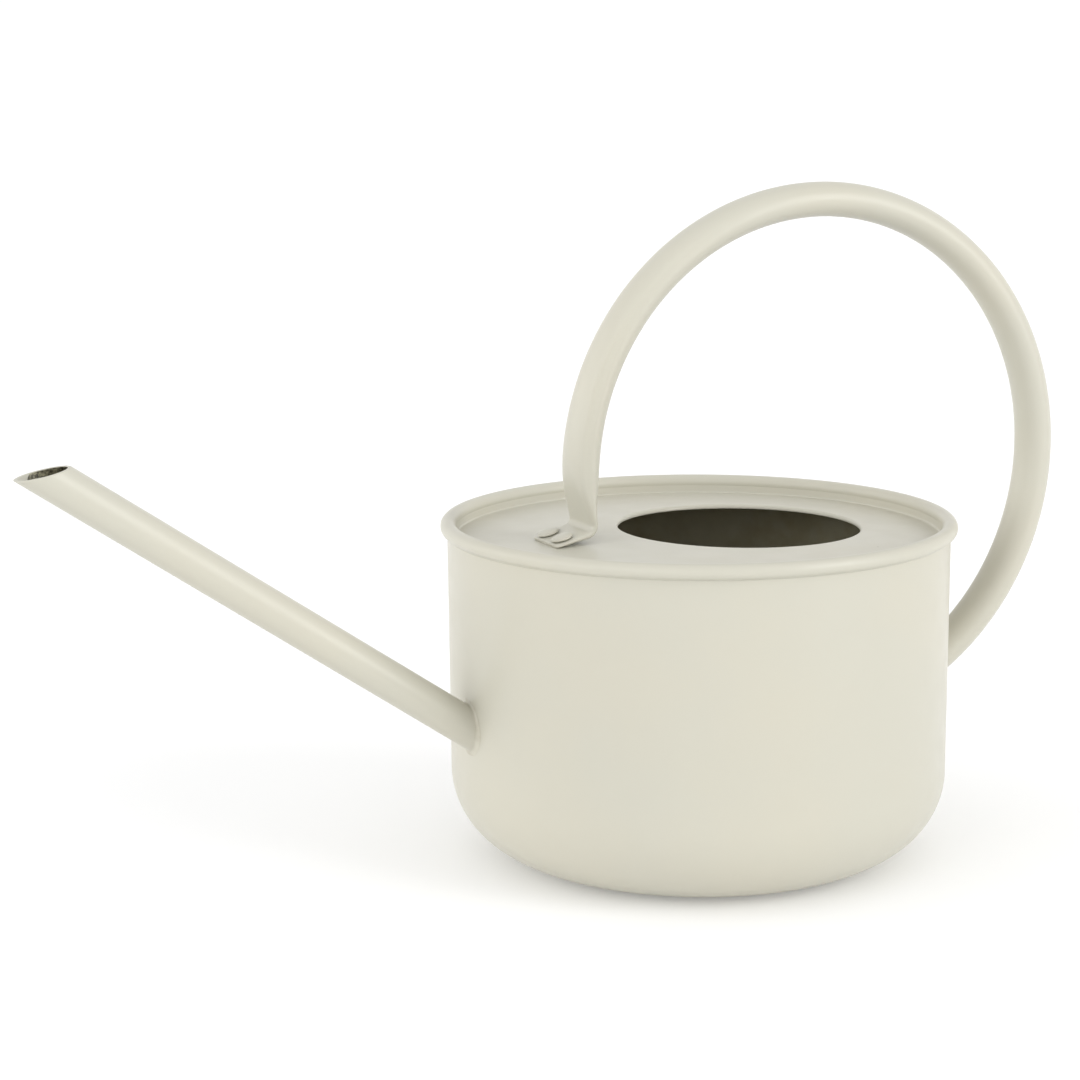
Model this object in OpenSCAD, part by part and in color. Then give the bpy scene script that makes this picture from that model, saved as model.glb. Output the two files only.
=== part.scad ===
// Watering can: drawn round body with a rolled rim, sunk domed deck with an off-centre fill hole,
// straight slanted spout and a tall ring handle whose front end is flattened and riveted down.
// Millimetres, +Z up. The base stands on Z = 0, the spout points to -X, the handle is at +X.

/* [Body] */
// outer radius of the wall just under the rolled rim
wall_r_top = 96.6; // [96.2:0.1:97.2]
// outer radius of the wall where the bottom corner begins
wall_r_low = 96.0; // [95.2:0.1:96.6]
// width of the rounded bottom corner
corner_w = 37.4; // [30:0.1:45]
// height of the rounded bottom corner
corner_h = 33.9; // [28:0.1:38]
// thickness of the body and deck sheet
sheet = 0.9; // [0.8:0.05:1]

/* [Rolled rim] */
// height of the roll's centre line
rim_z = 129.1; // [128.6:0.1:130]
// outer radius of the roll itself
roll_r = 2.95; // [2.8:0.05:3.2]

/* [Deck] */
// height of the deck's top at the body axis
crown_z = 127.6; // [127.2:0.1:128]
// drop of the dome per square millimetre of radius
dome_k = 0.000326; // [0.0003:0.000001:0.00035]
// inner radius of the fold between deck and upstand
fold_r = 2.0; // [1.5:0.1:2.5]
// distance of the fill hole's centre behind the body axis
hole_x = 17.9; // [16:0.1:20]
// radius of the fill hole
hole_r = 46.95; // [44:0.05:49]
// outer radius of the turned-down edge of the hole
lip_r = 1.25; // [1.1:0.05:1.5]
// straight part of the turned-down edge
lip_h = 0.45; // [0.3:0.05:1]

/* [Spout] */
// outer diameter of the spout tube
spout_d = 14.7; // [13:0.1:16]
// wall of the spout tube
spout_t = 1.0; // [0.8:0.1:1.5]
// rise of the spout above level
spout_rise = 34.34; // [30:0.01:38]
// height where the spout axis meets the wall
spout_z = 58.2; // [55:0.1:65]
// length of the axis from the wall to the middle of the slanted mouth
spout_len = 193.5; // [150:0.1:230]

/* [Handle] */
// distance of the ring's centre behind the body axis
ring_x = 51.7; // [51.2:0.1:52.2]
// height of the ring's centre
ring_z = 150.1; // [149.8:0.1:150.5]
// radius of the ring's centre line
ring_r = 101.6; // [101.2:0.1:102]
// half thickness of the round part's oval tube, in the plane of the ring
tube_h = 6.7; // [6.5:0.1:6.9]
// half width of the round part's oval tube, across the plane of the ring
tube_w = 8.5; // [8.3:0.1:8.8]
// wall of the handle tube
tube_t = 1.2; // [1:0.1:1.4]
// half thickness of the flattened front end
flat_h = 1.3; // [1.2:0.1:1.4]
// half width of the flattened front end
flat_w = 11.2; // [11:0.1:11.5]
// mid radius of the bend above the foot
bend_r = 3.7; // [3.4:0.1:4]
// slope of the foot's underside
foot_slope = 11; // [10:0.5:12]
// where the foot's tip ends, measured from the body axis
foot_tip_x = -64.8; // [-65.5:0.1:-64.4]

/* [Rivets] */
// position of the rivet pair along the foot
rivet_x = -60.4; // [-60.8:0.1:-60]
// half the spacing of the rivet pair
rivet_y = 6.0; // [5.5:0.1:6.5]
// radius of the rivets' shanks
shank_r = 2.0; // [1.8:0.1:2.2]
// radius of the rivets' heads
head_r = 4.15; // [4:0.05:4.4]

/* [Hidden] */
$fn = 96;
rim_r = wall_r_top - 0.3;
// the wall ends inside the sheet of the roll
wall_top = rim_z - roll_r + sheet / 2;
base_r = wall_r_low - corner_w;
// wall radius by height, and deck height by radius
function wall_r(z) =
    wall_r_low + (wall_r_top - wall_r_low) * (z - corner_h) / (wall_top - corner_h);
function deck_z(r) = crown_z - dome_k * r * r;
function arc(cx, cy, a, b, a0, a1, n) =
    [for (i = [0 : n]) let (t = a0 + (a1 - a0) * i / n) [cx + a * cos(t), cy + b * sin(t)]];

// deck: where the flat ends and the fold begins
up_in = wall_r(wall_top) - 2 * sheet - 0.02;
fold_x = up_in - fold_r;
fold_z = deck_z(fold_x) + fold_r;
up_top = rim_z + 0.4;
deck_n = 12;
// hole: the dome cut by a circle lies in a plane with this tilt
bend_edge = hole_r + lip_r;
hole_z = crown_z - dome_k * (hole_x * hole_x + bend_edge * bend_edge);
hole_tilt = atan(2 * dome_k * hole_x);

// handle: last ring angle, bend centre and foot
leg_t0 = 118;
leg_t1 = 189;
leg_end = [ring_x + ring_r * cos(leg_t1), ring_z + ring_r * sin(leg_t1)];
bend_c = [leg_end[0] + bend_r * cos(leg_t1), leg_end[1] + bend_r * sin(leg_t1)];
bend_a0 = leg_t1 - 180;
bend_a1 = -(90 - foot_slope);
fd = [-cos(foot_slope), -sin(foot_slope)];
fn_ = [-sin(foot_slope), cos(foot_slope)];
foot_under = [bend_c[0] - (bend_r + flat_h) * fn_[0], bend_c[1] - (bend_r + flat_h) * fn_[1]];
foot_over = [bend_c[0] - (bend_r - flat_h) * fn_[0], bend_c[1] - (bend_r - flat_h) * fn_[1]];
foot_len = (foot_under[0] - foot_tip_x) / cos(foot_slope);
tip_t = 1.3;
tip_under = [foot_under[0] + foot_len * fd[0], foot_under[1] + foot_len * fd[1]];
tip_over = [tip_under[0], tip_under[1] + tip_t];
top_slope = atan((foot_over[1] - tip_over[1]) / (foot_over[0] - tip_over[0]));
head_z = foot_over[1] + (rivet_x - foot_over[0]) * tan(top_slope);

// flattening of the leg: [ring angle, half thickness, half width, squareness]
leg = [[116, 6.62, 8.42, 2.0], [121, 6.70, 8.55, 2.0], [125.5, 6.70, 8.62, 2.0], [130, 6.70, 8.70, 2.0],
    [136, 6.70, 8.85, 2.05], [142, 6.70, 9.00, 2.1], [148, 6.65, 9.10, 2.15],
    [154, 6.60, 9.20, 2.2], [160, 6.50, 9.30, 2.25], [165, 6.40, 9.40, 2.3],
    [169, 6.25, 9.50, 2.35], [173, 6.00, 9.65, 2.4], [176, 5.65, 9.80, 2.45],
    [179, 5.00, 10.05, 2.5], [181.5, 4.15, 10.40, 2.6], [184, 3.05, 10.75, 2.8],
    [186, 2.15, 11.00, 3.0], [187.5, 1.60, 11.15, 3.2], [189, 1.30, 11.20, 3.4]];
leg_in_last = 15;
sides = 32;

function spow(v, e) = (v < 0 ? -1 : 1) * pow(abs(v), e);
// an oval section: u is across the strip's thickness, v is along Y
function oval(h, w, n) =
    [for (i = [0 : sides - 1]) let (a = 360 * i / sides)
        [h * spow(cos(a), 2 / n), w * spow(sin(a), 2 / n)]];
function on_ring(t, u, v) = [ring_x + (ring_r + u) * cos(t), v, ring_z + (ring_r + u) * sin(t)];

// everything inside the outer face of the wall, grown by g
module wall_solid(g = 0, z0 = 20, z1 = 127) {
    rotate_extrude()
        polygon([[0, z0], [wall_r(z0) + g, z0], [wall_r(z1) + g, z1], [0, z1]]);
}

module cup() {
    outer = concat([[0, 0], [base_r, 0]],
        arc(base_r, corner_h, corner_w, corner_h, -90 + 5, 0, 17), [[wall_r_top, wall_top]]);
    inner = concat([[wall_r_top - sheet, wall_top]],
        arc(base_r, corner_h, corner_w - sheet, corner_h - sheet, 0, -90 + 5, 17),
        [[base_r, sheet], [0, sheet]]);
    rotate_extrude() polygon(concat(outer, inner));
}

// the deck's upstand, caught in the rolled rim
module upstand_2d() {
    polygon([[up_in, fold_z], [wall_r(fold_z) - sheet, fold_z], [wall_r(up_top) - sheet, up_top],
        [up_in, up_top]]);
}

module rolled_rim() {
    rotate_extrude() difference() {
        translate([rim_r, rim_z]) circle(r = roll_r);
        translate([rim_r, rim_z]) circle(r = roll_r - sheet);
        polygon([[up_in, fold_z], [wall_r(fold_z) - sheet, fold_z],
            [wall_r(up_top) - sheet, up_top], [up_in, up_top]]);
    }
}

module body_shell() {
    color([0.85, 0.83, 0.76]) difference() {
        union() {
            cup();
            rolled_rim();
        }
        spout_axis() translate([0, 0, -30]) cylinder(d = spout_d, h = 60);
    }
}

// top sheet of the deck with its fold and upstand, before the holes
module deck_pan() {
    top = [for (i = [0 : deck_n]) let (r = fold_x * i / deck_n) [r, deck_z(r)]];
    under = [for (i = [deck_n : -1 : 0]) let (r = fold_x * i / deck_n) [r, deck_z(r) - sheet]];
    fold_in = arc(fold_x, fold_z, fold_r, fold_r, -80, 0, 6);
    fold_out = arc(fold_x, fold_z, fold_r + sheet, fold_r + sheet, 0, -80, 6);
    rotate_extrude() polygon(concat(top, fold_in,
        [[up_in, up_top], [wall_r(up_top) - sheet, up_top], [wall_r(fold_z) - sheet, fold_z]],
        [for (i = [1 : 6]) fold_out[i]], under));
}

module hole_frame() {
    translate([hole_x, 0, hole_z]) rotate([0, hole_tilt, 0]) children();
}

module hole_lip() {
    rotate_extrude() union() {
        intersection() {
            translate([bend_edge, -lip_r]) difference() {
                circle(r = lip_r);
                circle(r = lip_r - sheet);
            }
            translate([hole_r - 1, -lip_r]) square([lip_r + 1, lip_r + 1]);
        }
        translate([hole_r, -lip_r - lip_h]) square([sheet, lip_h]);
    }
}

module top_deck() {
    color([0.81, 0.80, 0.73]) difference() {
        union() {
            difference() {
                deck_pan();
                hole_frame() translate([0, 0, -10]) cylinder(r = bend_edge - 0.3, h = 20);
            }
            hole_frame() hole_lip();
        }
        for (s = [-1, 1]) rivet_at(s) translate([0, 0, -12]) cylinder(r = shank_r, h = 24);
    }
}

module spout_axis() {
    translate([-wall_r(spout_z), 0, spout_z]) rotate([0, -(90 - spout_rise), 0]) children();
}

module spout_tube() {
    color([0.85, 0.83, 0.76]) difference() {
        spout_axis() difference() {
            translate([0, 0, -14]) cylinder(d = spout_d, h = spout_len + 26);
            translate([0, 0, -15]) cylinder(d = spout_d - 2 * spout_t, h = spout_len + 28);
            translate([0, 0, spout_len]) rotate([0, 45, 0])
                translate([-30, -30, 0]) cube([60, 60, 30]);
        }
        cylinder(r = wall_r_low - sheet - 3, h = 120);
    }
}

// paint-covered fillet where the tube leaves the wall
module spout_weld() {
    color([0.84, 0.82, 0.75]) difference() {
        intersection() {
            spout_axis() translate([0, 0, -8]) cylinder(d = spout_d + 3.6, h = 30);
            wall_solid(1.7, 40, 80);
        }
        wall_solid(0, 30, 90);
        spout_axis() translate([0, 0, -20]) cylinder(d = spout_d, h = 60);
    }
}

// the round part of the ring, h and w being half its section
module ring_arc(h, w, t0, t1) {
    translate([ring_x, 0, ring_z]) rotate([90, 0, 0]) rotate([0, 0, t0])
        rotate_extrude(angle = t1 - t0)
            polygon([for (p = oval(h, w, 2)) [ring_r + p[0], p[1]]]);
}

// the leg, skinned through the sections of the table from row 0 to row last
module leg_skin(last, inset) {
    pts = [for (k = [0 : last]) let (s = leg[k])
        for (p = oval(s[1] - inset, s[2] - inset, s[3])) on_ring(s[0], p[0], -p[1])];
    n = sides;
    side = [for (k = [0 : last - 1]) for (i = [0 : n - 1]) let (j = (i + 1) % n)
        for (f = [[k * n + i, k * n + j, (k + 1) * n + j],
            [k * n + i, (k + 1) * n + j, (k + 1) * n + i]]) f];
    caps = [[for (i = [n - 1 : -1 : 0]) i], [for (i = [0 : n - 1]) last * n + i]];
    polyhedron(points = pts, faces = concat(side, caps));
}

module bend_arc() {
    translate([bend_c[0], 0, bend_c[1]]) rotate([90, 0, 0]) rotate([0, 0, bend_a1])
        rotate_extrude(angle = bend_a0 - bend_a1)
            polygon([for (p = oval(flat_h, flat_w, leg[len(leg) - 1][3])) [bend_r + p[0], p[1]]]);
}

module foot_plate() {
    intersection() {
        translate([0, flat_w, 0]) rotate([90, 0, 0]) linear_extrude(2 * flat_w)
            polygon([foot_under, foot_over, tip_over, tip_under]);
        translate([0, 0, 120]) linear_extrude(20) union() {
            translate([foot_tip_x, -flat_w + 2.5]) square([20, 2 * flat_w - 5]);
            translate([foot_tip_x + 2.5, -flat_w]) square([20, 2 * flat_w]);
            for (s = [-1, 1]) translate([foot_tip_x + 2.5, s * (flat_w - 2.5)]) circle(r = 2.5);
        }
    }
}

module handle_outer(g = 0) {
    ring_arc(tube_h + g, tube_w + g, -68, leg_t0);
}

module handle_tube() {
    color([0.86, 0.84, 0.77]) difference() {
        union() {
            handle_outer();
            leg_skin(len(leg) - 1, 0);
            bend_arc();
            foot_plate();
        }
        union() {
            ring_arc(tube_h - tube_t, tube_w - tube_t, -70, leg_t0);
            leg_skin(leg_in_last, tube_t);
        }
        wall_solid(0, 25, 120);
        deck_pan();
        for (s = [-1, 1]) rivet_at(s) translate([0, 0, -12]) cylinder(r = shank_r, h = 24);
    }
}

module handle_weld() {
    color([0.84, 0.82, 0.75]) difference() {
        intersection() {
            ring_arc(tube_h + 1.8, tube_w + 1.8, -72, -50);
            wall_solid(1.7, 35, 90);
        }
        wall_solid(0, 25, 100);
        ring_arc(tube_h, tube_w, -74, -48);
    }
}

// frame of one rivet: its head seats on the foot's sloped top
module rivet_at(s) {
    translate([rivet_x, s * rivet_y, head_z]) rotate([0, -top_slope, 0]) children();
}

module rivet(s) {
    cap_h = 1.25;
    edge_h = 0.55;
    cap_r = (head_r * head_r + cap_h * cap_h) / (2 * cap_h);
    rivet_at(s) {
        rotate_extrude() intersection() {
            union() {
                square([head_r, edge_h]);
                translate([0, edge_h + cap_h - cap_r]) circle(r = cap_r, $fn = 240);
            }
            square([head_r, 5]);
        }
        translate([0, 0, -7]) cylinder(r = shank_r, h = 7.2);
    }
    difference() {
        rivet_at(s) translate([0, 0, -7.2]) union() {
            cylinder(r1 = 2.4, r2 = 3.2, h = 1.2);
            translate([0, 0, 1.2]) cylinder(r = 3.2, h = 4);
        }
        rotate_extrude() polygon(concat([for (i = [0 : deck_n]) let (r = fold_x * i / deck_n)
            [r, deck_z(r) - sheet]], [[fold_x, 140], [0, 140]]));
    }
}

module foot_rivets() {
    color([0.86, 0.84, 0.77]) for (s = [-1, 1]) rivet(s);
}

body_shell();
top_deck();
spout_tube();
spout_weld();
handle_tube();
handle_weld();
foot_rivets();
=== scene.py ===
"""Looks of the watering can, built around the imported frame. Metres, +Z up, spout to -X, handle at +X."""
import math

import bpy
import numpy as np
from mathutils import Matrix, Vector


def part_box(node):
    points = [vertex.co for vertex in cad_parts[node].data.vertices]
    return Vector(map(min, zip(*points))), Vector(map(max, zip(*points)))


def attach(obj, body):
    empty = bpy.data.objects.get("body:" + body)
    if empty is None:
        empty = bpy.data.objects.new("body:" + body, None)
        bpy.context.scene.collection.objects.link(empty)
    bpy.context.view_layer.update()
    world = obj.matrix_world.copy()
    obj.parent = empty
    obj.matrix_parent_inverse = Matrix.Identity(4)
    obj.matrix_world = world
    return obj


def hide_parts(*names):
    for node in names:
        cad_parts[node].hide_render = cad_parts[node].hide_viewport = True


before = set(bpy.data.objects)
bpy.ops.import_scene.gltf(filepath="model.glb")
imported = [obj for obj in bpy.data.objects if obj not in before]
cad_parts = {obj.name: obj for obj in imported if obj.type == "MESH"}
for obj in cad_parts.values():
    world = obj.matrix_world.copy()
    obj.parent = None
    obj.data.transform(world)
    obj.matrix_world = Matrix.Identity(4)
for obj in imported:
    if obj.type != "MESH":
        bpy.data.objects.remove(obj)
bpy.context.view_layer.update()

MM = 0.001
TAU = 2 * math.pi

# ---------------------------------------------------------------------------------------------
# Driving sizes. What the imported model's boxes give is read from them, and the rest is named here.
# ---------------------------------------------------------------------------------------------
_, body_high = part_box("body_shell")
handle_low, handle_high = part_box("handle_tube")

# body and rolled rim
ROLL_R = 2.95 * MM
SHEET = 0.9 * MM
RIM_R = min(body_high.x, body_high.y) - ROLL_R
RIM_Z = body_high.z - ROLL_R
WALL_TOP_R = RIM_R + 0.3 * MM
WALL_LOW_R = WALL_TOP_R - 0.6 * MM
WALL_TOP_Z = RIM_Z - 2.5 * MM
CORNER_W = 37.4 * MM
CORNER_H = 33.9 * MM
BASE_R = WALL_LOW_R - CORNER_W
NECK_R = 0.7 * MM
NECK_START_Z = RIM_Z - 4.2 * MM

# deck; its dome falls by DOME_K times the square of the distance from the axis
CROWN_Z = RIM_Z - 1.5 * MM
DOME_K = 0.326
FOLD_R = 2.0 * MM
UPSTAND_R = WALL_TOP_R - 2 * SHEET - 0.02 * MM
UPSTAND_TOP = RIM_Z + 0.4 * MM
SEAM_FILL = 1.2 * MM
SEAM_TOP = RIM_Z - 0.2 * MM
HOLE_X = 17.9 * MM
HOLE_R = 46.95 * MM
LIP_R = 1.25 * MM
LIP_H = 0.45 * MM
LIP_EDGE_R = 0.3 * MM

# spout
SPOUT_R = 7.35 * MM
SPOUT_BORE_R = 6.35 * MM
SPOUT_RISE = math.radians(34.34)
SPOUT_Z = 58.2 * MM
SPOUT_LEN = 193.5 * MM
SPOUT_INNER_END = 92.1 * MM

# handle
RING_R = 101.6 * MM
TUBE_H = 6.7 * MM
TUBE_W = 8.5 * MM
RING_Z = handle_high.z - RING_R - TUBE_H
RING_X = handle_high.x - RING_R - TUBE_H
LEG_END = math.radians(189)
FLAT_H = 1.3 * MM
FLAT_W = handle_high.y
BEND_R = 3.7 * MM
FOOT_SLOPE = math.radians(11)
FOOT_TIP_X = handle_low.x
FOOT_TIP_T = 1.3 * MM

# rivets
RIVET_X = -60.4 * MM
RIVET_Y = 6.0 * MM
RIVET_HEAD_R = 4.15 * MM
RIVET_SHANK_R = 2.0 * MM
RIVET_NECK_R = RIVET_HEAD_R - 1.6 * MM
RIVET_GAP = 0.45 * MM
RIVET_EDGE_Z = 1.05 * MM
RIVET_DOME = 0.75 * MM
RIVET_SOFT = 0.20 * MM
RIVET_SHANK_END = -4.4 * MM
RIVET_TAIL = ((3.2 * MM, -4.6 * MM), (3.2 * MM, -5.6 * MM), (2.4 * MM, -6.9 * MM), (0.0, -7.0 * MM))


def wall_radius(z):
    """Outer radius of the slightly flaring wall at height z."""
    rise = (z - CORNER_H) / (WALL_TOP_Z - CORNER_H)
    return WALL_LOW_R + (WALL_TOP_R - WALL_LOW_R) * rise


def deck_height(r):
    """Height of the domed deck's top at distance r from the body's axis."""
    return CROWN_Z - DOME_K * r * r


def arc(cx, cy, rx, ry, start, end, steps):
    """Points of an elliptic arc, with angles in degrees."""
    out = []
    for i in range(steps + 1):
        a = math.radians(start + (end - start) * i / steps)
        out.append((cx + rx * math.cos(a), cy + ry * math.sin(a)))
    return out


# ---------------------------------------------------------------------------------------------
# Mesh tools
# ---------------------------------------------------------------------------------------------
def new_piece(name, points, faces, sharp=40, materials=(), face_material=None):
    """A smooth-shaded mesh object, creased only where faces meet at more than the angle sharp."""
    mesh = bpy.data.meshes.new(name)
    mesh.from_pydata([tuple(p) for p in points], [], faces)
    mesh.validate()
    mesh.polygons.foreach_set("use_smooth", [True] * len(mesh.polygons))
    mesh.set_sharp_from_angle(angle=math.radians(sharp))
    for material in materials:
        mesh.materials.append(material)
    if face_material is not None:
        mesh.polygons.foreach_set("material_index", face_material)
    piece = bpy.data.objects.new(name, mesh)
    bpy.context.scene.collection.objects.link(piece)
    return piece


def signed_volume(points, faces):
    """Volume inside a closed surface, negative if its faces point inwards."""
    p = np.array(points, float)
    total = 0.0
    for f in faces:
        for k in range(1, len(f) - 1):
            total += float(np.dot(p[f[0]], np.cross(p[f[k]], p[f[k + 1]])))
    return total / 6


def outward(points, faces):
    """The faces, turned round if the closed surface that they make is inside out."""
    if signed_volume(points, faces) < 0:
        return [tuple(reversed(f)) for f in faces]
    return faces


def ring_faces(rings, count, closed=False):
    """Quads between rings of count points each. A closed stack joins its last ring to its first."""
    faces = []
    for k in range(rings if closed else rings - 1):
        a = k * count
        b = ((k + 1) % rings) * count
        for i in range(count):
            j = (i + 1) % count
            faces.append((a + i, a + j, b + j, b + i))
    return faces


def close_end(points, faces, first, count, flip):
    """A fan over the ring of count points that starts at first."""
    centre = len(points)
    points.append(tuple(np.mean([points[first + i] for i in range(count)], axis=0)))
    for i in range(count):
        triangle = (first + i, first + (i + 1) % count, centre)
        faces.append(tuple(reversed(triangle)) if flip else triangle)


# ---------------------------------------------------------------------------------------------
# Materials
# ---------------------------------------------------------------------------------------------
def node(tree, kind, **values):
    """A shader node with its properties and the inputs that have plain values set."""
    n = tree.nodes.new(kind)
    for key, value in values.items():
        if key.startswith("in_"):
            n.inputs[key[3:].replace("_", " ")].default_value = value
        else:
            setattr(n, key, value)
    return n


def new_material(name):
    """A material with one Principled shader, as (material, node tree, shader)."""
    material = bpy.data.materials.new(name)
    material.use_nodes = True
    tree = material.node_tree
    tree.nodes.clear()
    shader = tree.nodes.new("ShaderNodeBsdfPrincipled")
    output = tree.nodes.new("ShaderNodeOutputMaterial")
    tree.links.new(shader.outputs["BSDF"], output.inputs["Surface"])
    return material, tree, shader


def object_noise(tree, where, scale, detail=3.0, roughness=0.5):
    """Noise in the piece's own coordinates, in metres."""
    n = node(tree, "ShaderNodeTexNoise", in_Scale=scale, in_Detail=detail, in_Roughness=roughness)
    tree.links.new(where.outputs["Object"], n.inputs["Vector"])
    return n


def ramp(tree, source, low, high, low_value, high_value):
    """Maps source from the range low..high onto low_value..high_value, smoothly."""
    n = node(tree, "ShaderNodeMapRange", interpolation_type="SMOOTHSTEP")
    n.inputs["From Min"].default_value = low
    n.inputs["From Max"].default_value = high
    n.inputs["To Min"].default_value = low_value
    n.inputs["To Max"].default_value = high_value
    tree.links.new(source, n.inputs["Value"])
    return n.outputs["Result"]


def mix_colour(tree, factor, a, b):
    """Mixes two colours, each a plain value or another node's output."""
    n = node(tree, "ShaderNodeMix", data_type="RGBA")
    tree.links.new(factor, n.inputs["Factor"])
    for value, socket in ((a, n.inputs[6]), (b, n.inputs[7])):
        if isinstance(value, tuple):
            socket.default_value = value
        else:
            tree.links.new(value, socket)
    return n.outputs[2]


def combine(tree, operation, a, b):
    """Two outputs joined by a maths operation."""
    n = node(tree, "ShaderNodeMath", operation=operation)
    tree.links.new(a, n.inputs[0])
    tree.links.new(b, n.inputs[1])
    return n.outputs[0]


def specks(tree, where, cell, radius, share):
    """1 inside small round specks: one in a share of the cells, each of the given radius."""
    voronoi = node(tree, "ShaderNodeTexVoronoi", in_Scale=1 / cell, in_Randomness=1.0)
    tree.links.new(where.outputs["Object"], voronoi.inputs["Vector"])
    split = node(tree, "ShaderNodeSeparateColor")
    tree.links.new(voronoi.outputs["Color"], split.inputs["Color"])
    chosen = ramp(tree, split.outputs["Red"], share, share + 0.001, 1.0, 0.0)
    inside = ramp(tree, voronoi.outputs["Distance"], radius / cell, 1.6 * radius / cell, 1.0, 0.0)
    return combine(tree, "MULTIPLY", chosen, inside)


PAINT_WARM = (0.531, 0.511, 0.429, 1)
PAINT_COOL = (0.522, 0.508, 0.433, 1)
# the weld's darker cream is painted shade for the corner where the tube meets the wall
WELD_SHADE = (0.46, 0.435, 0.35, 1)
SPECK = (0.20, 0.17, 0.12, 1)
STEEL_LIGHT = (0.40, 0.375, 0.27, 1)
STEEL_DARK = (0.34, 0.305, 0.195, 1)
# the bore's two steel tones are a darker copy of the bare steel: painted shade inside the narrow tube, near
# black at their darkest
BORE_SHADE_LIGHT = (0.33, 0.31, 0.20, 1)
BORE_SHADE_DARK = (0.022, 0.019, 0.009, 1)
PAINT_SPECULAR = 0.34


def paint_bump(tree, where, wave_scale=38, wave_strength=0.10):
    """Orange peel of a powder coat over a sheet that isn't perfectly even."""
    peel = object_noise(tree, where, 620, detail=2.0)
    waves = object_noise(tree, where, wave_scale, detail=1.5)
    coarse = node(tree, "ShaderNodeBump", in_Strength=wave_strength, in_Distance=0.0016)
    tree.links.new(waves.outputs["Fac"], coarse.inputs["Height"])
    fine = node(tree, "ShaderNodeBump", in_Strength=0.16, in_Distance=0.00007)
    tree.links.new(peel.outputs["Fac"], fine.inputs["Height"])
    tree.links.new(coarse.outputs["Normal"], fine.inputs["Normal"])
    return fine.outputs["Normal"]


def paint_colour(tree, where):
    """Cream with a faint drift from warm to cool and a few dark specks."""
    drift = object_noise(tree, where, 14, detail=3.0)
    tone = ramp(tree, drift.outputs["Fac"], 0.35, 0.65, 0.0, 1.0)
    base = mix_colour(tree, tone, PAINT_WARM, PAINT_COOL)
    small = specks(tree, where, cell=20 * MM, radius=0.22 * MM, share=0.35)
    return mix_colour(tree, small, base, SPECK)


def cream_paint():
    """Satin powder coat over steel."""
    material, tree, shader = new_material("cream_paint")
    where = node(tree, "ShaderNodeTexCoord")
    tree.links.new(paint_colour(tree, where), shader.inputs["Base Color"])
    gloss = object_noise(tree, where, 90, detail=4.0)
    tree.links.new(ramp(tree, gloss.outputs["Fac"], 0.3, 0.7, 0.30, 0.36), shader.inputs["Roughness"])
    tree.links.new(paint_bump(tree, where), shader.inputs["Normal"])
    shader.inputs["Specular IOR Level"].default_value = PAINT_SPECULAR
    return material


def weld_paint():
    """The same coat over a rough weld bead, duller, with darker patches that are painted shade in the corner
    of the joint.
    """
    material, tree, shader = new_material("weld_paint")
    where = node(tree, "ShaderNodeTexCoord")
    patch = object_noise(tree, where, 160, detail=2.0)
    tone = ramp(tree, patch.outputs["Fac"], 0.35, 0.65, 0.0, 1.0)
    # random patches mix the cream with its darker tone, which is painted shade in the joint's corner
    tree.links.new(mix_colour(tree, tone, WELD_SHADE, PAINT_WARM), shader.inputs["Base Color"])
    tree.links.new(ramp(tree, patch.outputs["Fac"], 0.3, 0.7, 0.40, 0.52), shader.inputs["Roughness"])
    tree.links.new(paint_bump(tree, where, 150, 0.12), shader.inputs["Normal"])
    shader.inputs["Specular IOR Level"].default_value = PAINT_SPECULAR
    return material


def steel_colour(tree, where, scale, dark, light):
    """Unpainted steel, dull and mottled."""
    blotch = object_noise(tree, where, scale, detail=6.0, roughness=0.65)
    tone = ramp(tree, blotch.outputs["Fac"], 0.38, 0.66, 0.0, 1.0)
    return mix_colour(tree, tone, dark, light)


def bare_steel():
    """The dull inner faces, which the paint doesn't reach."""
    material, tree, shader = new_material("bare_steel")
    where = node(tree, "ShaderNodeTexCoord")
    tree.links.new(steel_colour(tree, where, 30, STEEL_DARK, STEEL_LIGHT), shader.inputs["Base Color"])
    wear = object_noise(tree, where, 160, detail=5.0)
    tree.links.new(ramp(tree, wear.outputs["Fac"], 0.3, 0.7, 0.45, 0.7), shader.inputs["Roughness"])
    bump = node(tree, "ShaderNodeBump", in_Strength=0.25, in_Distance=0.00012)
    tree.links.new(wear.outputs["Fac"], bump.inputs["Height"])
    tree.links.new(bump.outputs["Normal"], shader.inputs["Normal"])
    shader.inputs["Metallic"].default_value = 0.15
    return material


def faded_paint():
    """Paint that thins out to bare steel where the attribute paint_cover falls from 1 to 0, the steel
    darkened as painted shade.
    """
    material, tree, shader = new_material("faded_paint")
    where = node(tree, "ShaderNodeTexCoord")
    cover = node(tree, "ShaderNodeAttribute", attribute_name="paint_cover")
    ragged = object_noise(tree, where, 700, detail=5.0, roughness=0.7)
    edge = node(tree, "ShaderNodeMath", operation="MULTIPLY_ADD")
    edge.inputs[1].default_value = 0.55
    tree.links.new(ragged.outputs["Fac"], edge.inputs[0])
    tree.links.new(cover.outputs["Fac"], edge.inputs[2])
    painted = ramp(tree, edge.outputs[0], 0.70, 0.86, 0.0, 1.0)
    # the bare bore is painted shade: steel darkened towards near black, with random blotches between its two
    # tones
    bare = steel_colour(tree, where, 900, BORE_SHADE_DARK, BORE_SHADE_LIGHT)
    colour = mix_colour(tree, painted, bare, paint_colour(tree, where))
    tree.links.new(colour, shader.inputs["Base Color"])
    tree.links.new(ramp(tree, ragged.outputs["Fac"], 0.3, 0.7, 0.40, 0.60), shader.inputs["Roughness"])
    tree.links.new(paint_bump(tree, where), shader.inputs["Normal"])
    return material


paint = cream_paint()
bead = weld_paint()
steel = bare_steel()
faded = faded_paint()


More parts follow.
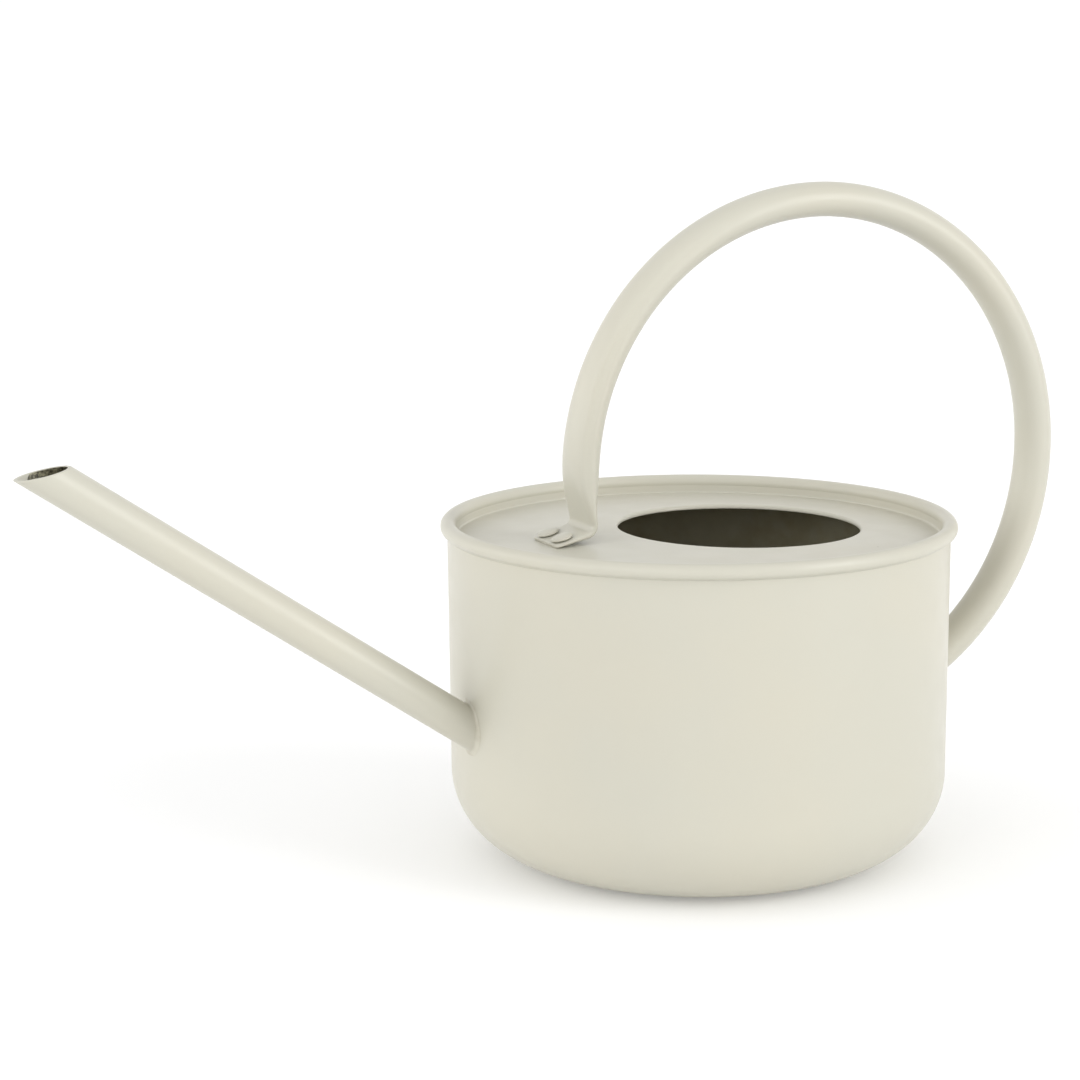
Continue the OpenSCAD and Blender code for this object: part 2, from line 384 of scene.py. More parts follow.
# ---------------------------------------------------------------------------------------------
# Body: one sheet from the flat base through the drawn corner and the wall to the rolled rim
# ---------------------------------------------------------------------------------------------
BODY_SIDES = 360
SPOUT_HALF_COLUMNS = 9
SPOUT_PATCH_LOW = 44 * MM
SPOUT_PATCH_HIGH = 73 * MM
SPOUT_PATCH_ROWS = 22
BASE_STEPS = 8
CORNER_STEPS = 30
UPPER_WALL_STEPS = 10
NECK_STEPS = 6
ROLL_STEPS = 56
HOLLOW_STEPS = 40
PATCH_STEPS = 9

spout_dir = np.array([-math.cos(SPOUT_RISE), 0, math.sin(SPOUT_RISE)])
spout_up = np.array([math.sin(SPOUT_RISE), 0, math.cos(SPOUT_RISE)])
spout_side = np.array([0.0, 1.0, 0.0])
spout_root = np.array([-wall_radius(SPOUT_Z), 0, SPOUT_Z])


def spout_point(along, angle, radius):
    """A point at a distance along the spout's axis; the angle starts at its upper side."""
    out = radius * (math.cos(angle) * spout_up + math.sin(angle) * spout_side)
    return spout_root + along * spout_dir + out


def on_wall(angle, radius, inset):
    """Where the spout's line at this angle and radius meets the wall, inset from its outer face."""
    along = 0.0
    for _ in range(30):
        p = spout_point(along, angle, radius)
        gap = math.hypot(p[0], p[1]) - (wall_radius(p[2]) - inset)
        along -= gap / math.cos(SPOUT_RISE)
    return along


def turned(r, z, angle):
    """The point of a section at radius r and height z, turned round the body's axis."""
    return (r * math.cos(angle), r * math.sin(angle), z)


def body_profile():
    """Outer and inner halves of the body's section, as (r, z), each from the base upwards."""
    wall_rows = [SPOUT_PATCH_LOW + (SPOUT_PATCH_HIGH - SPOUT_PATCH_LOW) * i / SPOUT_PATCH_ROWS
                 for i in range(SPOUT_PATCH_ROWS + 1)]
    above = [SPOUT_PATCH_HIGH + (NECK_START_Z - SPOUT_PATCH_HIGH) * i / UPPER_WALL_STEPS
             for i in range(1, UPPER_WALL_STEPS + 1)]
    outer = [(BASE_R * i / BASE_STEPS, 0.0) for i in range(1, BASE_STEPS)]
    outer += arc(BASE_R, CORNER_H, CORNER_W, CORNER_H, -90, 0, CORNER_STEPS)
    outer += [(wall_radius(z), z) for z in wall_rows + above]
    # a small radius of paint where the wall runs into the roll
    reach = math.sqrt((ROLL_R + NECK_R) ** 2 - (WALL_TOP_R + NECK_R - RIM_R) ** 2)
    neck_z = RIM_Z - reach
    tilt = math.degrees(math.atan2(reach, RIM_R - WALL_TOP_R - NECK_R))
    outer += arc(WALL_TOP_R + NECK_R, neck_z, NECK_R, NECK_R, 180, tilt, NECK_STEPS)
    slot_in = math.degrees(math.acos((UPSTAND_R - RIM_R) / ROLL_R))
    outer += arc(RIM_R, RIM_Z, ROLL_R, ROLL_R, tilt - 180, 360 - slot_in, ROLL_STEPS)[1:]
    # round the inside of the roll, from one side of the slot to the other
    hollow = ROLL_R - SHEET
    inner_edge = WALL_TOP_R - SHEET
    gap_in = math.degrees(math.acos((UPSTAND_R - RIM_R) / hollow))
    gap_out = math.degrees(math.acos((inner_edge - RIM_R) / hollow))
    outer += arc(RIM_R, RIM_Z, hollow, hollow, 360 - gap_in, -gap_out, HOLLOW_STEPS)
    inner = [(BASE_R * i / BASE_STEPS, SHEET) for i in range(1, BASE_STEPS)]
    inner += arc(BASE_R, CORNER_H, CORNER_W - SHEET, CORNER_H - SHEET, -90, 0, CORNER_STEPS)
    inner += [(wall_radius(z) - SHEET, z) for z in wall_rows + above]
    return outer, inner


def hole_patch(points, faces, grid, rows, columns, inset, flip):
    """Fills the gap left in the wall with quads that end on the spout's round hole, and returns its edge."""
    loop = [grid(rows[0], c) for c in columns]
    loop += [grid(r, columns[-1]) for r in rows[1:]]
    loop += [grid(rows[-1], c) for c in reversed(columns[:-1])]
    loop += [grid(r, columns[0]) for r in reversed(rows[1:-1])]
    centre = on_wall(0, 0, inset)
    middle = spout_point(centre, 0, 0)
    half_high = SPOUT_R / math.cos(SPOUT_RISE)
    ends = []
    for index in loop:
        p = points[index]
        angle = math.atan2(p[1] / SPOUT_R, (p[2] - middle[2]) / half_high)
        q = spout_point(on_wall(angle, SPOUT_R, inset), angle, SPOUT_R)
        ends.append((math.atan2(q[1], -q[0]), q[2]))
    starts = [(math.atan2(points[i][1], -points[i][0]), points[i][2]) for i in loop]
    previous = loop
    for k in range(1, PATCH_STEPS + 1):
        t = 1 - (1 - k / PATCH_STEPS) ** 1.5
        current = []
        for (a0, z0), (a1, z1) in zip(starts, ends):
            z = z0 + (z1 - z0) * t
            a = a0 + (a1 - a0) * t
            r = wall_radius(z) - inset
            current.append(len(points))
            points.append((-r * math.cos(a), r * math.sin(a), z))
        for i in range(len(loop)):
            j = (i + 1) % len(loop)
            quad = (previous[i], previous[j], current[j], current[i])
            faces.append(tuple(reversed(quad)) if flip else quad)
        previous = current
    return previous


def body_piece():
    """The body's outer and inner skins, joined at the slot in the roll and round the spout's hole."""
    outer, inner = body_profile()
    points, faces, painted = [], [], []
    starts = {}
    for name, rows in (("outer", outer), ("inner", inner)):
        starts[name] = len(points)
        for r, z in rows:
            points += [turned(r, z, TAU * i / BODY_SIDES) for i in range(BODY_SIDES)]
    half = BODY_SIDES // 2
    columns = list(range(half - SPOUT_HALF_COLUMNS, half + SPOUT_HALF_COLUMNS + 1))
    first_row = BASE_STEPS + CORNER_STEPS
    patch_rows = list(range(first_row, first_row + SPOUT_PATCH_ROWS + 1))
    edges = []
    for name, rows, inset in (("outer", outer, 0.0), ("inner", inner, SHEET)):
        base = starts[name]
        flip = name == "inner"
        for k in range(len(rows) - 1):
            for i in range(BODY_SIDES):
                if k in patch_rows[:-1] and i in columns[:-1]:
                    continue
                j = (i + 1) % BODY_SIDES
                a, b = base + k * BODY_SIDES, base + (k + 1) * BODY_SIDES
                quad = (a + i, a + j, b + j, b + i)
                faces.append(tuple(reversed(quad)) if flip else quad)

        def grid(row, column, base=base):
            return base + row * BODY_SIDES + column

        edges.append(hole_patch(points, faces, grid, patch_rows, columns, inset, flip))
        centre = len(points)
        points.append((0.0, 0.0, rows[0][1]))
        for i in range(BODY_SIDES):
            j = (i + 1) % BODY_SIDES
            faces.append((centre, base + i, base + j) if flip else (centre, base + j, base + i))
        painted += [0 if name == "outer" else 1] * (len(faces) - len(painted))
    last_outer = starts["outer"] + (len(outer) - 1) * BODY_SIDES
    last_inner = starts["inner"] + (len(inner) - 1) * BODY_SIDES
    for i in range(BODY_SIDES):
        j = (i + 1) % BODY_SIDES
        faces.append((last_outer + i, last_outer + j, last_inner + j, last_inner + i))
    for i in range(len(edges[0])):
        j = (i + 1) % len(edges[0])
        faces.append((edges[0][i], edges[0][j], edges[1][j], edges[1][i]))
    painted += [1] * (len(faces) - len(painted))
    # the roll's hollow is bare too
    first_hollow = (len(outer) - HOLLOW_STEPS - 1) * BODY_SIDES
    for index, face in enumerate(faces):
        if painted[index] == 0 and min(face) >= first_hollow and max(face) < starts["inner"]:
            painted[index] = 1
    piece = new_piece("body", points, faces, materials=(paint, steel), face_material=painted)
    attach(piece, "root")
    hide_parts("body_shell")
    return piece


# ---------------------------------------------------------------------------------------------
# Deck: a domed sheet sunk in the rim, with its upstand, its fold and the turned-down fill hole
# ---------------------------------------------------------------------------------------------
DECK_SIDES = 288
DECK_STEPS = 26
FOLD_STEPS = 12
TURN_STEPS = 9
EDGE_STEPS = 4


def hole_point(radius, drop, angle):
    """A point in the hole's own frame, which is tilted so that the hole's edge lies on the dome."""
    edge = HOLE_R + LIP_R
    level = CROWN_Z - DOME_K * (HOLE_X ** 2 + edge ** 2)
    tilt = math.atan(2 * DOME_K * HOLE_X)
    x, y = radius * math.cos(angle), radius * math.sin(angle)
    return (HOLE_X + x * math.cos(tilt) - drop * math.sin(tilt), y,
            level - x * math.sin(tilt) - drop * math.cos(tilt))


def deck_rings():
    """Rings of the deck's closed section: down the upstand, over the deck, round the hole's edge and back."""
    angles = [TAU * i / DECK_SIDES for i in range(DECK_SIDES)]
    fold_x = UPSTAND_R - FOLD_R
    fold_z = deck_height(fold_x) + FOLD_R
    # the sealed seam fills the corner between the upstand and the overhanging roll
    seam_r = UPSTAND_R - SEAM_FILL
    seam_fold = FOLD_R - SEAM_FILL
    bend = HOLE_R + LIP_R
    rings = []

    def around_body(r, z):
        rings.append([turned(r, z, a) for a in angles])

    def across(t, drop):
        """The dome at the share t of the way from the fold to the hole's edge."""
        ring = []
        for a in angles:
            x = fold_x * math.cos(a) * (1 - t) + (HOLE_X + bend * math.cos(a)) * t
            y = fold_x * math.sin(a) * (1 - t) + bend * math.sin(a) * t
            ring.append((x, y, deck_height(math.hypot(x, y)) - drop))
        rings.append(ring)

    def around_hole(r, drop):
        rings.append([hole_point(r, drop, a) for a in angles])

    around_body(UPSTAND_R, UPSTAND_TOP)
    around_body(UPSTAND_R - 0.1 * MM, RIM_Z + 0.2 * MM)
    around_body(seam_r, SEAM_TOP)
    for r, z in arc(fold_x, deck_height(fold_x) + seam_fold, seam_fold, seam_fold, 0, -88, FOLD_STEPS):
        around_body(r, z)
    for i in range(1, DECK_STEPS):
        across(i / DECK_STEPS, 0.0)
    for r, z in arc(bend, -LIP_R, LIP_R, LIP_R, 90, 180, TURN_STEPS):
        around_hole(r, -z)
    straight_end = LIP_R + LIP_H
    edge_z = LIP_EDGE_R - straight_end
    for r, z in arc(HOLE_R + LIP_EDGE_R, edge_z, LIP_EDGE_R, LIP_EDGE_R, 180, 270, EDGE_STEPS):
        around_hole(r, -z)
    # the paint ends two strips before the bottom of the turned-down edge
    painted_rings = len(rings) - 2
    for r, z in arc(HOLE_R + SHEET - LIP_EDGE_R, edge_z, LIP_EDGE_R, LIP_EDGE_R, 270, 360, EDGE_STEPS):
        around_hole(r, -z)
    inner_bend = LIP_R - SHEET
    for r, z in arc(bend, -LIP_R, inner_bend, inner_bend, 180, 90, EDGE_STEPS):
        around_hole(r, -z)
    for i in range(DECK_STEPS - 1, 0, -1):
        across(i / DECK_STEPS, SHEET)
    for r, z in arc(fold_x, fold_z, FOLD_R + SHEET, FOLD_R + SHEET, -88, 0, FOLD_STEPS):
        around_body(r, z)
    around_body(UPSTAND_R + SHEET, UPSTAND_TOP)
    return rings, painted_rings


def deck_piece():
    """The deck, painted from its upstand to the hole's turned-down edge and bare underneath."""
    rings, painted_rings = deck_rings()
    points = [p for ring in rings for p in ring]
    faces = ring_faces(len(rings), DECK_SIDES, closed=True)
    painted = [0 if i // DECK_SIDES < painted_rings else 1 for i in range(len(faces))]
    faces = outward(points, faces)
    piece = new_piece("deck", points, faces, materials=(paint, steel), face_material=painted)
    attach(piece, "root")
    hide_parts("top_deck")
    return piece


# ---------------------------------------------------------------------------------------------
# Spout: a tube cut off at a slant, painted over its lip and a little way in
# ---------------------------------------------------------------------------------------------
SPOUT_SIDES = 72
MOUTH_LIP = 0.28 * MM
NEAR_MOUTH = 16 * MM
PAINT_STATION = SPOUT_LEN + 2.0 * MM
PAINT_FADE = 2.2 * MM
OUTER_STEPS = 60
LIP_STEPS = 6
# The bore has finer rows near the mouth, so its even rows start that much further down
NEAR_STEPS = 24
BORE_STEPS = OUTER_STEPS - 6


def spout_piece():
    """The tube as rings: up the outside, over the rounded lip and down the bore."""
    angles = [TAU * i / SPOUT_SIDES for i in range(SPOUT_SIDES)]
    rings, cover = [], []

    def mouth(angle, radius):
        """The slanted cut's place along the axis: the upper side is the shorter."""
        return SPOUT_LEN - radius * math.cos(angle)

    def inner_end(angle, radius):
        """Where the line at this angle and radius ends, just inside the body."""
        along = -6 * MM
        for _ in range(30):
            p = spout_point(along, angle, radius)
            along -= (math.hypot(p[0], p[1]) - SPOUT_INNER_END) / math.cos(SPOUT_RISE)
        return along

    def add_ring(radius, share, back):
        """A ring at the share of the way to the mouth, less a distance back from it."""
        ring = []
        for a in angles:
            start, end = inner_end(a, radius), mouth(a, radius)
            along = start + (end - start) * share - back * share
            ring.append(spout_point(along, a, radius))
            reached = (along - PAINT_STATION) / PAINT_FADE + 0.5
            cover.append(min(max(reached, 0.0), 1.0) if radius <= SPOUT_BORE_R else 1.0)
        rings.append(ring)

    lip_back = 1.4 * MOUTH_LIP
    for i in range(OUTER_STEPS + 1):
        add_ring(SPOUT_R, i / OUTER_STEPS, lip_back)
    for k in range(1, LIP_STEPS):
        a = math.pi / 2 * k / LIP_STEPS
        add_ring(SPOUT_R - MOUTH_LIP * (1 - math.cos(a)), 1.0, lip_back * (1 - math.sin(a)))
    add_ring(SPOUT_R - MOUTH_LIP, 1.0, 0.0)
    add_ring((SPOUT_R + SPOUT_BORE_R) / 2, 1.0, 0.0)
    add_ring(SPOUT_BORE_R + MOUTH_LIP, 1.0, 0.0)
    for k in range(1, LIP_STEPS):
        a = math.pi / 2 * (1 - k / LIP_STEPS)
        add_ring(SPOUT_BORE_R + MOUTH_LIP * (1 - math.cos(a)), 1.0, lip_back * (1 - math.sin(a)))
    # the fading paint starts on the last two strips of the rounded lip
    first_inner = len(rings) - 2
    for i in range(NEAR_STEPS + 1):
        add_ring(SPOUT_BORE_R, 1.0, lip_back + NEAR_MOUTH * i / NEAR_STEPS)
    for i in range(BORE_STEPS, -1, -1):
        add_ring(SPOUT_BORE_R, i / OUTER_STEPS, lip_back)
    points = [p for ring in rings for p in ring]
    faces = ring_faces(len(rings), SPOUT_SIDES, closed=True)
    faces = outward(points, faces)
    painted = [0 if i // SPOUT_SIDES < first_inner else 1 for i in range(len(faces))]
    piece = new_piece("spout", points, faces, materials=(paint, faded), face_material=painted)
    attribute = piece.data.attributes.new("paint_cover", "FLOAT", "POINT")
    attribute.data.foreach_set("value", cover)
    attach(piece, "root")
    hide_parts("spout_tube")
    return piece


# ---------------------------------------------------------------------------------------------
# Handle: an oval tube bent round a ring, flattened at its front end and bent into a foot
# ---------------------------------------------------------------------------------------------
HANDLE_SIDES = 96
RING_START = -42
REAR_STEPS = 8
RING_STEPS = 90
LEG_STEPS = 96
BEND_STEPS = 14
FOOT_STEPS = 26
FOOT_CORNER = 1.6 * MM
FOOT_TIP_R = 0.5 * MM
# The flattening of the front leg: ring angle in degrees, half thickness, half width, flatness of the broad
# faces, and depth of the groove that the pressing leaves along each narrow side
FLATTENING = [
    (110, 6.70, 8.50, 2.0, 0.00),
    (130, 6.70, 8.60, 2.0, 0.38),
    (148, 6.65, 8.90, 2.0, 0.75),
    (160, 6.55, 9.10, 2.0, 0.85),
    (169, 6.30, 9.40, 2.2, 0.85),
    (176, 5.65, 9.80, 2.9, 0.70),
    (181.5, 4.15, 10.40, 4.8, 0.40),
    (186, 2.15, 11.00, 8.0, 0.10),
    (189, 1.30, 11.20, 12.0, 0.00),
]
GROOVE_WIDE = 1.5 * MM
GROOVE_OUT = 2.0 * MM


def leg_section(degrees):
    """Half thickness, half width, flatness and groove at a ring angle, eased between FLATTENING's rows."""
    rows = FLATTENING
    if degrees <= rows[0][0]:
        return TUBE_H, TUBE_W, 2.0, 0.0
    angles = np.array([r[0] for r in rows], float)
    out = []
    for column in (1, 2, 3, 4):
        values = np.array([r[column] for r in rows], float)
        slopes = np.gradient(values, angles)
        k = min(int(np.searchsorted(angles, degrees, side="right")) - 1, len(rows) - 2)
        span = angles[k + 1] - angles[k]
        t = (degrees - angles[k]) / span
        blend = 3 * t ** 2 - 2 * t ** 3
        value = (1 - blend) * values[k] + blend * values[k + 1]
        value += (t ** 3 - 2 * t ** 2 + t) * span * slopes[k]
        value += (t ** 3 - t ** 2) * span * slopes[k + 1]
        out.append(value)
    return out[0] * MM, out[1] * MM, out[2], out[3] * MM


def section(half_thick, half_wide, flat, groove=0.0):
    """An ellipse whose broad faces may be flat. u is across the thickness, outwards, and v is along Y."""
    out = []
    for i in range(HANDLE_SIDES):
        a = TAU * i / HANDLE_SIDES
        c, s = math.cos(a), math.sin(a)
        v = math.copysign(abs(s) ** (2 / flat), s)
        u = half_thick * math.copysign(math.sqrt(max(0.0, 1 - abs(v) ** flat)), c)
        dent = groove * math.exp(-((u - GROOVE_OUT * half_thick / TUBE_H) / GROOVE_WIDE) ** 2)
        out.append((u, (half_wide - dent) * v))
    return out


def ring_point(angle, u, v):
    """A point of the tube at an angle round the ring, u out from its centre line and v to the side."""
    return (RING_X + (RING_R + u) * math.cos(angle), v, RING_Z + (RING_R + u) * math.sin(angle))


def wall_angle(u, v, out=0.0):
    """The ring angle at which the line u, v of the tube comes within a distance out of the wall behind."""
    low, high = math.radians(-75), math.radians(-40)
    for _ in range(50):
        middle = (low + high) / 2
        p = ring_point(middle, u, v)
        if math.hypot(p[0], p[1]) < wall_radius(p[2]) + out:
            low = middle
        else:
            high = middle
    return (low + high) / 2


bend_centre = np.array([RING_X + (RING_R + BEND_R) * math.cos(LEG_END),
                        RING_Z + (RING_R + BEND_R) * math.sin(LEG_END)])
foot_along = np.array([-math.cos(FOOT_SLOPE), -math.sin(FOOT_SLOPE)])
foot_up = np.array([-math.sin(FOOT_SLOPE), math.cos(FOOT_SLOPE)])
foot_under = bend_centre - (BEND_R + FLAT_H) * foot_up
foot_over = bend_centre - (BEND_R - FLAT_H) * foot_up
foot_length = (foot_under[0] - FOOT_TIP_X) / math.cos(FOOT_SLOPE)
tip_under = foot_under + foot_length * foot_along
tip_over = tip_under + np.array([0, FOOT_TIP_T])
top_slope = math.atan((foot_over[1] - tip_over[1]) / (foot_over[0] - tip_over[0]))


def handle_rings():
    """Rings of the closed outer skin, from the wall behind, over the top and down to the foot's tip."""
    rings = []
    oval = section(TUBE_H, TUBE_W, 2.0)
    start = [wall_angle(u, v) for u, v in oval]
    first = math.radians(RING_START)
    for k in range(REAR_STEPS):
        t = k / REAR_STEPS
        rings.append([ring_point(a + (first - a) * t, u, v) for a, (u, v) in zip(start, oval)])
    leg_start, leg_end = FLATTENING[0][0], FLATTENING[-1][0]
    degrees = [RING_START + (leg_start - RING_START) * i / RING_STEPS for i in range(RING_STEPS + 1)]
    degrees += [leg_start + (leg_end - leg_start) * i / LEG_STEPS for i in range(1, LEG_STEPS + 1)]
    for d in degrees:
        rings.append([ring_point(math.radians(d), u, v) for u, v in section(*leg_section(d))])
    flat = section(FLAT_H, FLAT_W, FLATTENING[-1][3])
    bend_start = LEG_END - math.pi
    bend_end = -(math.pi / 2 - FOOT_SLOPE)
    for k in range(1, BEND_STEPS + 1):
        a = bend_start + (bend_end - bend_start) * k / BEND_STEPS
        rings.append([(bend_centre[0] + (BEND_R - u) * math.cos(a), v,
                       bend_centre[1] + (BEND_R - u) * math.sin(a)) for u, v in flat])
    return rings, flat


def foot_rings(flat):
    """Rings of the foot: a wedge that thins to its tip, its plan with rounded corners."""
    rings = []
    for k in range(1, FOOT_STEPS + 1):
        left = foot_length * (1 - k / FOOT_STEPS) ** 1.6
        t = 1 - left / foot_length
        under = foot_under + t * foot_length * foot_along
        over = foot_over + (tip_over - foot_over) * t
        middle, half = (under + over) / 2, (over - under) / 2
        narrow = FLAT_W
        if left < FOOT_CORNER:
            narrow -= FOOT_CORNER - math.sqrt(FOOT_CORNER ** 2 - (FOOT_CORNER - left) ** 2)
        if left < FOOT_TIP_R:
            half = half * (0.3 + 0.7 * math.sqrt(1 - (1 - left / FOOT_TIP_R) ** 2))
        ring = []
        for u, v in flat:
            x, z = middle + half * u / FLAT_H
            ring.append((x, v * narrow / FLAT_W, z))
        rings.append(ring)
    return rings


def handle_piece():
    """The handle's outer skin, from the wall behind to the foot's tip."""
    rings, flat = handle_rings()
    rings += foot_rings(flat)
    points = [p for ring in rings for p in ring]
    faces = ring_faces(len(rings), HANDLE_SIDES)
    close_end(points, faces, 0, HANDLE_SIDES, True)
    close_end(points, faces, (len(rings) - 1) * HANDLE_SIDES, HANDLE_SIDES, False)
    faces = outward(points, faces)
    piece = new_piece("handle", points, faces, sharp=50, materials=(paint,))
    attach(piece, "root")
    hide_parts("handle_tube")
    return piece


# ---------------------------------------------------------------------------------------------
# Welds: hollow fillets under the paint, round the spout and round the handle's rear end
# ---------------------------------------------------------------------------------------------
WELD_REACH = 1.4 * MM
WELD_SIDES = 96
WELD_STEPS = 10
WELD_LIFT = 0.02 * MM
WELD_SINK = 0.15 * MM


def weld_ripple(angle, seed):
    """A hand-made bead isn't even: a few slow waves round the joint."""
    lump = 0.9 * math.exp(-((angle - 0.45) / 0.16) ** 2)
    return 1 + 0.14 * math.sin(3 * angle + seed) + 0.08 * math.sin(7 * angle + 2.3 * seed) + lump


def fillet(name, node_name, tube_point, seed):
    """A fillet from the tube to the wall, from points that lie off the tube and out from the wall."""
    rings = []
    for k in range(WELD_STEPS + 1):
        t = k / WELD_STEPS * math.pi / 2
        ring = []
        for i in range(WELD_SIDES):
            a = TAU * i / WELD_SIDES
            reach = WELD_REACH * weld_ripple(a, seed)
            off, out = reach * (1 - math.sin(t)), reach * (1 - math.cos(t))
            ring.append(tube_point(a, off + WELD_LIFT, out + WELD_LIFT))
        rings.append(ring)
    # back along the tube's skin and the wall, just under them, so that the bead is a closed solid
    for share in (0.6, 0.0):
        ring = []
        for i in range(WELD_SIDES):
            a = TAU * i / WELD_SIDES
            reach = WELD_REACH * weld_ripple(a, seed)
            ring.append(tube_point(a, -WELD_SINK, reach * share - WELD_SINK))
        rings.append(ring)
    points = [p for ring in rings for p in ring]
    faces = outward(points, ring_faces(len(rings), WELD_SIDES, closed=True))
    piece = new_piece(name, points, faces, sharp=60, materials=(bead,))
    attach(piece, "root")
    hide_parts(node_name)
    return piece


def spout_weld_point(angle, off, out):
    """A point round the spout, off its skin and out from the wall."""
    radius = SPOUT_R + off
    return spout_point(on_wall(angle, radius, -out), angle, radius)


def handle_weld_point(angle, off, out):
    """A point round the handle's rear end, off its skin and out from the wall."""
    u = (TUBE_H + off) * math.cos(angle)
    v = (TUBE_W + off) * math.sin(angle)
    return ring_point(wall_angle(u, v, out), u, v)


# ---------------------------------------------------------------------------------------------
# Rivets: domed heads on the foot, plain shanks, and coned tails under the deck
# ---------------------------------------------------------------------------------------------
RIVET_SIDES = 64
DOME_STEPS = 12


def rivet_piece(name, side):
    """A rivet turned round its own axis, which stands square to the foot's sloped top."""
    head_z = foot_over[1] + (RIVET_X - foot_over[0]) * math.tan(top_slope)
    dome_r = RIVET_HEAD_R - RIVET_SOFT
    soft_r = dome_r + 0.7 * RIVET_SOFT
    profile = [(0.0, RIVET_EDGE_Z + RIVET_DOME)]
    for i in range(1, DOME_STEPS + 1):
        a = i / DOME_STEPS * math.pi / 2
        profile.append((dome_r * math.sin(a) ** 0.9, RIVET_EDGE_Z + RIVET_DOME * math.cos(a) ** 1.3))
    profile += [(soft_r, RIVET_EDGE_Z - 0.3 * RIVET_SOFT), (RIVET_HEAD_R, RIVET_EDGE_Z - RIVET_SOFT)]
    profile += [(RIVET_HEAD_R, RIVET_GAP + RIVET_SOFT), (soft_r, RIVET_GAP + 0.3 * RIVET_SOFT)]
    profile += [(dome_r, RIVET_GAP), (RIVET_NECK_R, RIVET_GAP), (RIVET_NECK_R, 0.0)]
    profile += [(RIVET_SHANK_R, 0.0), (RIVET_SHANK_R, RIVET_SHANK_END)]
    profile += RIVET_TAIL
    turn = -top_slope
    seat = np.array([RIVET_X, side * RIVET_Y, head_z])

    def placed(r, z, a):
        """A point of the profile, turned by a and set up on the foot."""
        x, y = r * math.cos(a), r * math.sin(a)
        along = x * math.cos(turn) + z * math.sin(turn)
        up = z * math.cos(turn) - x * math.sin(turn)
        return seat + np.array([along, y, up])

    points, faces = [], []
    for r, z in profile[1:-1]:
        points += [placed(r, z, TAU * i / RIVET_SIDES) for i in range(RIVET_SIDES)]
    faces = ring_faces(len(profile) - 2, RIVET_SIDES)
    last = (len(profile) - 3) * RIVET_SIDES
    close_end(points, faces, 0, RIVET_SIDES, True)
    points[-1] = tuple(placed(*profile[0], 0))
    close_end(points, faces, last, RIVET_SIDES, False)
    faces = outward(points, faces)
    piece = new_piece(name, points, faces, sharp=50, materials=(paint,))
    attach(piece, "root")
    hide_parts("foot_rivets")
    return piece


# ---------------------------------------------------------------------------------------------
# Floor, light and camera
# ---------------------------------------------------------------------------------------------
FLOOR_HALF = 6.0
FLOOR_DROP = 0.2 * MM
FLOOR_GLOW = 0.14


def floor_piece():
    """A plain pale floor just under the can, which glows a little so that it stays white."""
    mesh = bpy.data.meshes.new("floor")
    corners = [(x * FLOOR_HALF, y * FLOOR_HALF, 0) for x, y in ((-1, -1), (1, -1), (1, 1), (-1, 1))]
    mesh.from_pydata(corners, [], [(0, 1, 2, 3)])
    material, tree, shader = new_material("floor")
    shader.inputs["Base Color"].default_value = (0.88, 0.88, 0.88, 1)
    shader.inputs["Roughness"].default_value = 1.0
    shader.inputs["Specular IOR Level"].default_value = 0.0
    shader.inputs["Emission Color"].default_value = (1, 1, 1, 1)
    shader.inputs["Emission Strength"].default_value = FLOOR_GLOW
    mesh.materials.append(material)
    floor = bpy.data.objects.new("floor", mesh)
    floor.location.z = -FLOOR_DROP
    bpy.context.scene.collection.objects.link(floor)


# Brightness of the tent round the can and of its two soft boxes, whose angles are in degrees. Azimuth 0 is in
# front of the can and positive to its right. A box fades out from its inner to its outer half width, and at
# its top.
TENT_LOW = 0.05
TENT_HIGH = 0.85
TENT_WALL = 1.03
TENT_TOP = 0.82
RIGHT_BOX = {"azimuth": 38, "inner": 10, "outer": 18, "top": (34, 46), "strength": 4.2}
LEFT_BOX = {"azimuth": -90, "inner": 25, "outer": 62, "top": (20, 45), "strength": 1.55}


def soft_box(tree, level, height, azimuth, inner, outer, top, strength):
    """Extra light from a tall soft box that stands on the horizon."""
    a = math.radians(azimuth)
    toward = node(tree, "ShaderNodeVectorMath", operation="DOT_PRODUCT")
    toward.inputs[1].default_value = (math.sin(a), -math.cos(a), 0)
    tree.links.new(level, toward.inputs[0])
    edge, core = math.cos(math.radians(outer)), math.cos(math.radians(inner))
    across = ramp(tree, toward.outputs["Value"], edge, core, 0.0, 1.0)
    low, high = math.sin(math.radians(top[0])), math.sin(math.radians(top[1]))
    return combine(tree, "MULTIPLY", across, ramp(tree, height, low, high, strength, 0.0))


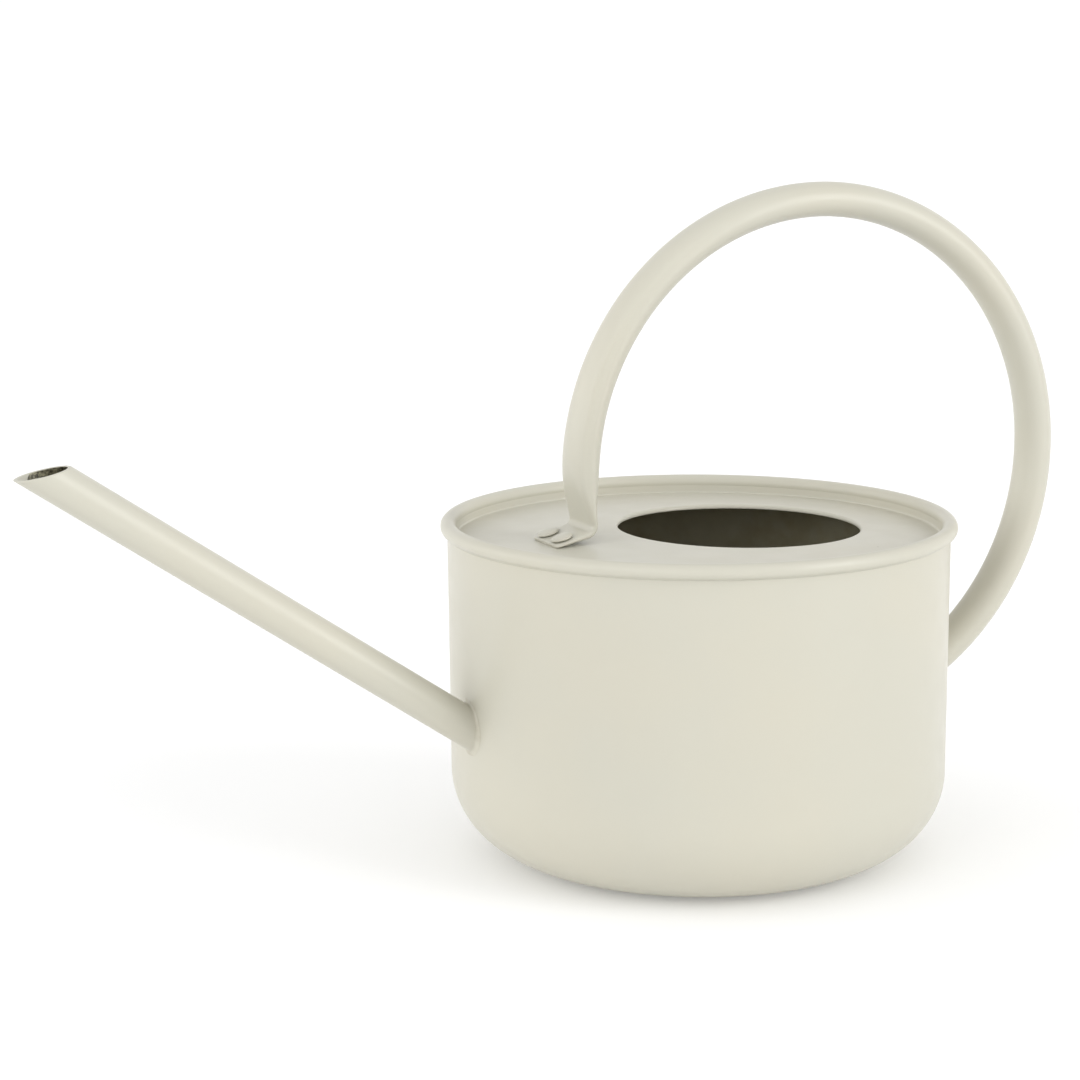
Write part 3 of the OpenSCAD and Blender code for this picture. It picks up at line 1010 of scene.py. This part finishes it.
def studio():
    """A pale tent, darker overhead, with a tall soft box to the can's right and a broad one to its left."""
    world = bpy.data.worlds.new("studio")
    world.use_nodes = True
    tree = world.node_tree
    where = node(tree, "ShaderNodeTexCoord")
    split = node(tree, "ShaderNodeSeparateXYZ")
    tree.links.new(where.outputs["Generated"], split.inputs["Vector"])
    height = split.outputs["Z"]
    flat = node(tree, "ShaderNodeVectorMath", operation="MULTIPLY")
    flat.inputs[1].default_value = (1, 1, 0)
    tree.links.new(where.outputs["Generated"], flat.inputs[0])
    level = node(tree, "ShaderNodeVectorMath", operation="NORMALIZE")
    tree.links.new(flat.outputs["Vector"], level.inputs[0])
    total = ramp(tree, height, TENT_LOW, TENT_HIGH, TENT_WALL, TENT_TOP)
    for box in (RIGHT_BOX, LEFT_BOX):
        extra = soft_box(tree, level.outputs["Vector"], height, **box)
        total = combine(tree, "ADD", total, extra)
    background = tree.nodes["Background"]
    background.inputs["Color"].default_value = (1, 1, 1, 1)
    tree.links.new(total, background.inputs["Strength"])
    scene = bpy.context.scene
    scene.world = world
    scene.view_settings.view_transform = "Standard"


VIEW_AZIMUTH = math.radians(-24.03)
VIEW_ELEVATION = math.radians(9.89)
VIEW_ROLL = math.radians(-0.44)
VIEW_DISTANCE = 1.034
VIEW_TARGET = np.array([-74.2 * MM, 0, 144.2 * MM])
VIEW_LENS = 92.2
VIEW_SENSOR = 36
VIEW_SHIFT = (0.0169, -0.0380)


def camera():
    """The camera at its azimuth, elevation and roll, a set distance from its target."""
    az, el, roll = VIEW_AZIMUTH, VIEW_ELEVATION, VIEW_ROLL
    back = np.array([math.sin(az) * math.cos(el), -math.cos(az) * math.cos(el), math.sin(el)])
    level = np.array([math.cos(az), math.sin(az), 0.0])
    upright = np.cross(back, level)
    right = level * math.cos(roll) + upright * math.sin(roll)
    up = upright * math.cos(roll) - level * math.sin(roll)
    data = bpy.data.cameras.new("camera")
    data.lens = VIEW_LENS
    data.sensor_width = VIEW_SENSOR
    data.shift_x, data.shift_y = VIEW_SHIFT
    data.clip_start = 0.05
    cam = bpy.data.objects.new("camera", data)
    place = Matrix.Identity(4)
    for column, axis in enumerate((right, up, back, VIEW_TARGET + back * VIEW_DISTANCE)):
        for row in range(3):
            place[row][column] = axis[row]
    cam.matrix_world = place
    bpy.context.scene.collection.objects.link(cam)
    bpy.context.scene.camera = cam


body_piece()
deck_piece()
spout_piece()
handle_piece()
fillet("spout_fillet", "spout_weld", spout_weld_point, 0.6)
fillet("handle_fillet", "handle_weld", handle_weld_point, 2.1)
rivet_piece("rivet_near", -1)
rivet_piece("rivet_far", 1)
floor_piece()
studio()
camera()
